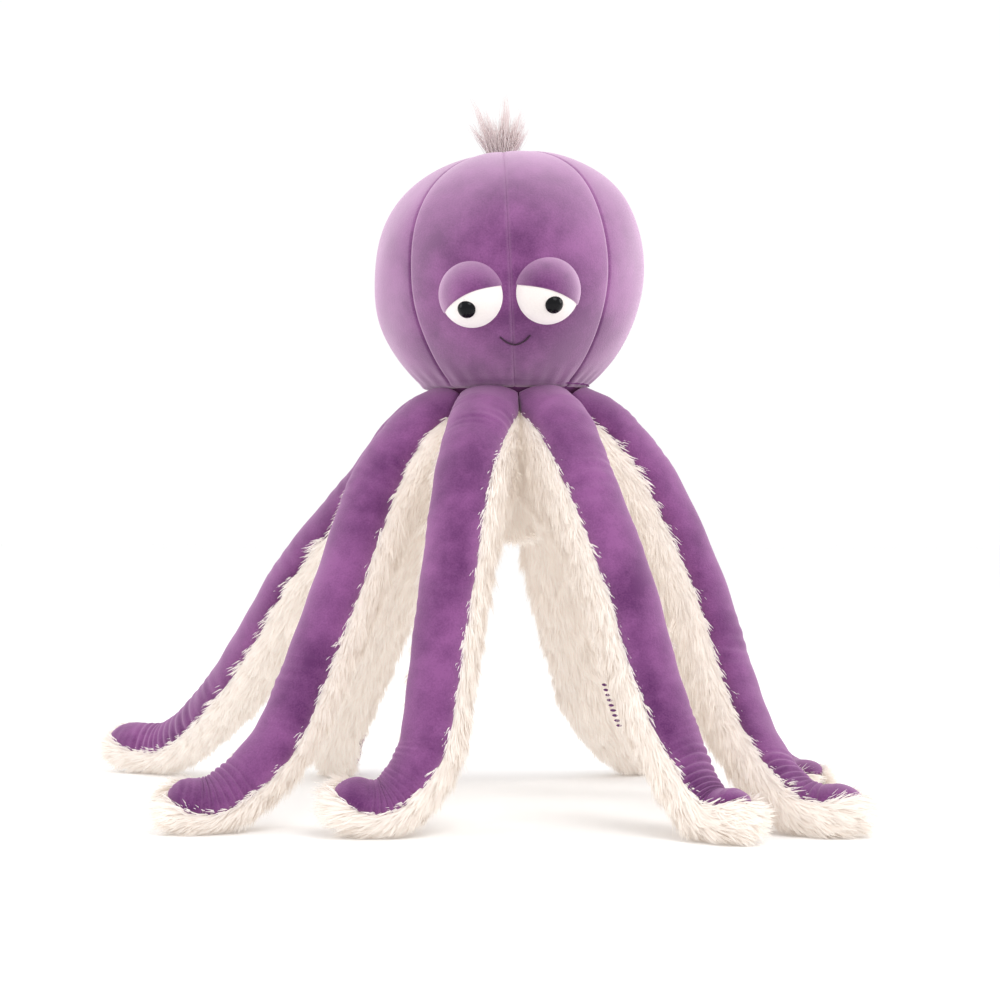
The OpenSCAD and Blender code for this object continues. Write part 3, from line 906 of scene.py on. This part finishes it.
closing_t = np.linspace(0.54, 0.61, 30)
closing = skin(1, closing_t, np.full((30, 1), 231.0), np.full((30, 1), -0.6))[:, 0]
closing = thread_run("closing_thread", closing, step=0.0034, length=0.0046, thickness=0.0009, turn=1.1,
                     material=purple_thread)
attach(closing, "tentacle_2_end")
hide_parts("closing_stitch")

# %% [markdown]
# ## The tuft
# A few thin locks of long pile stand up from the crown. Each lock is a bundle of fine blades that start
# apart on the crown and lean together towards the lock's own tip.

# %% Make the tuft
# where each lock ends, in millimetres from the top of the crown
LOCK_TIPS = [(-19, 0, 40), (-22, 3, 22), (-15, 2, 29), (-11, -3, 31), (-5, -3, 24), (1, -3, 28),
             (4.5, -3, 42), (6, 2, 34), (10, -2, 25), (15, 1, 30), (17, 3, 24), (9, 5, 18), (-8, 5, 22),
             (18, -1, 15)]
BLADES_PER_LOCK, BLADE_ROWS = 62, 7


def make_tuft():
    rng = np.random.default_rng(8)
    points, faces, along, shade = [], [], [], []
    for tip in LOCK_TIPS:
        foot = np.array(tip) * [0.3, 0.6, 0] + [0, 0, CROWN_H - 1.6]
        goal = np.array(tip) + [0, 0, CROWN_H]
        for _ in range(BLADES_PER_LOCK):
            start = foot + rng.normal(0, 1, 3) * [2.0, 2.4, 0]
            end = goal + rng.normal(0, 1, 3) * [0.9, 0.9, 1.2]
            reach = 0.4 + 0.6 * rng.random() ** 0.45
            side = unit(np.cross(end - start, rng.normal(0, 1, 3)))
            bow = rng.normal(0, 1.3, 3) * [1, 1, 0]
            first = len(points)
            tone = rng.random()
            for i in range(BLADE_ROWS):
                v = i / (BLADE_ROWS - 1)
                at = start + (end - start) * v * reach + bow * math.sin(math.pi * v * 0.8)
                half = 0.22 * (1 - 0.7 * v)
                points += [at - side * half, at + side * half]
                along += [v, v]
                shade += [tone, tone]
                if i:
                    a = first + 2 * i
                    faces.append([a - 2, a - 1, a + 1, a])
    obj = make_object("tuft", lean_head(np.array(points)), faces, tuft_fur)
    for name, values in (("along", along), ("shade", shade)):
        attribute = obj.data.attributes.new(name, "FLOAT", "POINT")
        attribute.data.foreach_set("value", np.array(values, np.float32))
    return obj


tuft = make_tuft()
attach(tuft, "head")
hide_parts("crown_tuft")

# %% [markdown]
# ## Pieces that stay as the CAD made them
# The plastic eye buttons, their washers inside the head and the core of the body have the right shape
# already, so they only get materials.

# %% Materials for the CAD pieces
def core_material():
    """Purple above the crotch and cream below it, for the stuffed core that shows between tentacles."""
    material = plain("core_cloth", (0.2, 0.06, 0.2), 0.9, 0.1)
    nodes, links = material.node_tree.nodes, material.node_tree.links
    place = nodes.new("ShaderNodeSeparateXYZ")
    links.new(nodes.new("ShaderNodeTexCoord").outputs["Object"], place.inputs[0])
    high = math_node(nodes, links, "GREATER_THAN", place.outputs["Z"], 0.27)
    mix = nodes.new("ShaderNodeMix")
    mix.data_type = "RGBA"
    mix.inputs["A"].default_value = (0.93, 0.88, 0.83, 1)
    mix.inputs["B"].default_value = (0.16, 0.045, 0.16, 1)
    links.new(high, mix.inputs["Factor"])
    links.new(mix.outputs["Result"], nodes["Principled BSDF"].inputs["Base Color"])
    return material


for node, material in (("eye_buttons", button_plastic), ("eye_washers", stuffing_white),
                       ("body_stuffing", core_material())):
    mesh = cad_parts[node].data
    mesh.materials.clear()
    mesh.materials.append(material)

# %% [markdown]
# The patch that closes the underside, between the tentacles, is a small disc of the same long fur, so
# it gets the fur tree too. Its strands flow outwards from the middle. Its edge turns up round the core,
# so that no bare core shows between two tentacles.


# %% The underside patch
PATCH_MARGIN, WALL_HEIGHT = 2, 26       # past the CAD patch's edge, and up the core
DISC_ROWS, WALL_ROWS = 8, 6
def make_underside():
    low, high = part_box("underside_patch")
    centre = [(low[0] + high[0]) / 2 / MM, (low[1] + high[1]) / 2 / MM, low[2] / MM]
    radius = (high[0] - low[0]) / 2 / MM + PATCH_MARGIN
    r = np.concatenate([np.linspace(0.2, radius, DISC_ROWS), np.full(WALL_ROWS, radius)])[:, None]
    rise = np.concatenate([np.zeros(DISC_ROWS), np.linspace(4, WALL_HEIGHT, WALL_ROWS)])[:, None]
    a = np.radians(np.arange(0, 361, 15))[None, ::-1]
    x, y, flat = np.cos(a), np.sin(a), 0 * a
    inward = np.maximum(r - 1, 0.1)
    outer = np.stack([r * x, r * y, rise + flat], -1) + centre
    inner = np.stack([inward * x, inward * y, rise + FUR_SKIN + flat], -1) + centre
    obj = shell("underside_fur", outer, inner, long_fur)
    away = np.stack([x + 0 * r, y + 0 * r, -0.6 - 0.1 * rise + flat], -1)
    add_fur_attributes(obj, away, np.ones(outer.shape[:2]))
    return run_tree(obj, FUR, density=1.15e6, length=0.0112, width=0.0011, seed=60, material=long_fur)


underside = make_underside()
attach(underside, "body")
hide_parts("underside_patch")

# %% [markdown]
# ## Floor, light and camera
# The toy stands on a white floor that runs on into a white background. One large soft light hangs above
# and in front, two weaker ones stand at the sides, and the white world fills the shadows. The camera is
# low and level, a metre and a half in front of the face.

# %% Stage
floor_material = plain("floor_white", (0.985, 0.985, 0.985), 0.9, 0.1)
floor = make_object("floor", [[-9000, -9000, 0], [9000, -9000, 0], [9000, 9000, 0], [-9000, 9000, 0]],
                    [[0, 1, 2, 3]], floor_material)

world = bpy.data.worlds.new("studio")
world.use_nodes = True
world.node_tree.nodes["Background"].inputs["Color"].default_value = (1.0, 1.0, 1.0, 1)
world.node_tree.nodes["Background"].inputs["Strength"].default_value = 1.02
bpy.context.scene.world = world


def area_light(name, place, target, size, power):
    light = bpy.data.lights.new(name, "AREA")
    light.shape = "DISK"
    light.size = size
    light.energy = power
    obj = bpy.data.objects.new(name, light)
    obj.location = place
    obj.rotation_euler = (Vector(target) - Vector(place)).to_track_quat("-Z", "Y").to_euler()
    bpy.context.scene.collection.objects.link(obj)


area_light("key", (0.7, -1.3, 1.9), (0.03, 0, 0.25), 1.3, 16)
area_light("left_side", (-1.7, -0.2, 0.9), (0, 0, 0.25), 1.0, 7)
area_light("right_side", (1.7, 0.1, 0.9), (0, 0, 0.25), 1.0, 7)

# %% Camera
camera_data = bpy.data.cameras.new("camera")
camera_data.lens = 79.2
camera_data.sensor_width = 36
camera_data.clip_end = 100
camera = bpy.data.objects.new("camera", camera_data)
camera.location = (0.0377, -1.5445, 0.213)
camera.rotation_euler = (math.radians(90), 0, 0)
bpy.context.scene.collection.objects.link(camera)
bpy.context.scene.camera = camera
bpy.context.scene.view_settings.view_transform = "Standard"
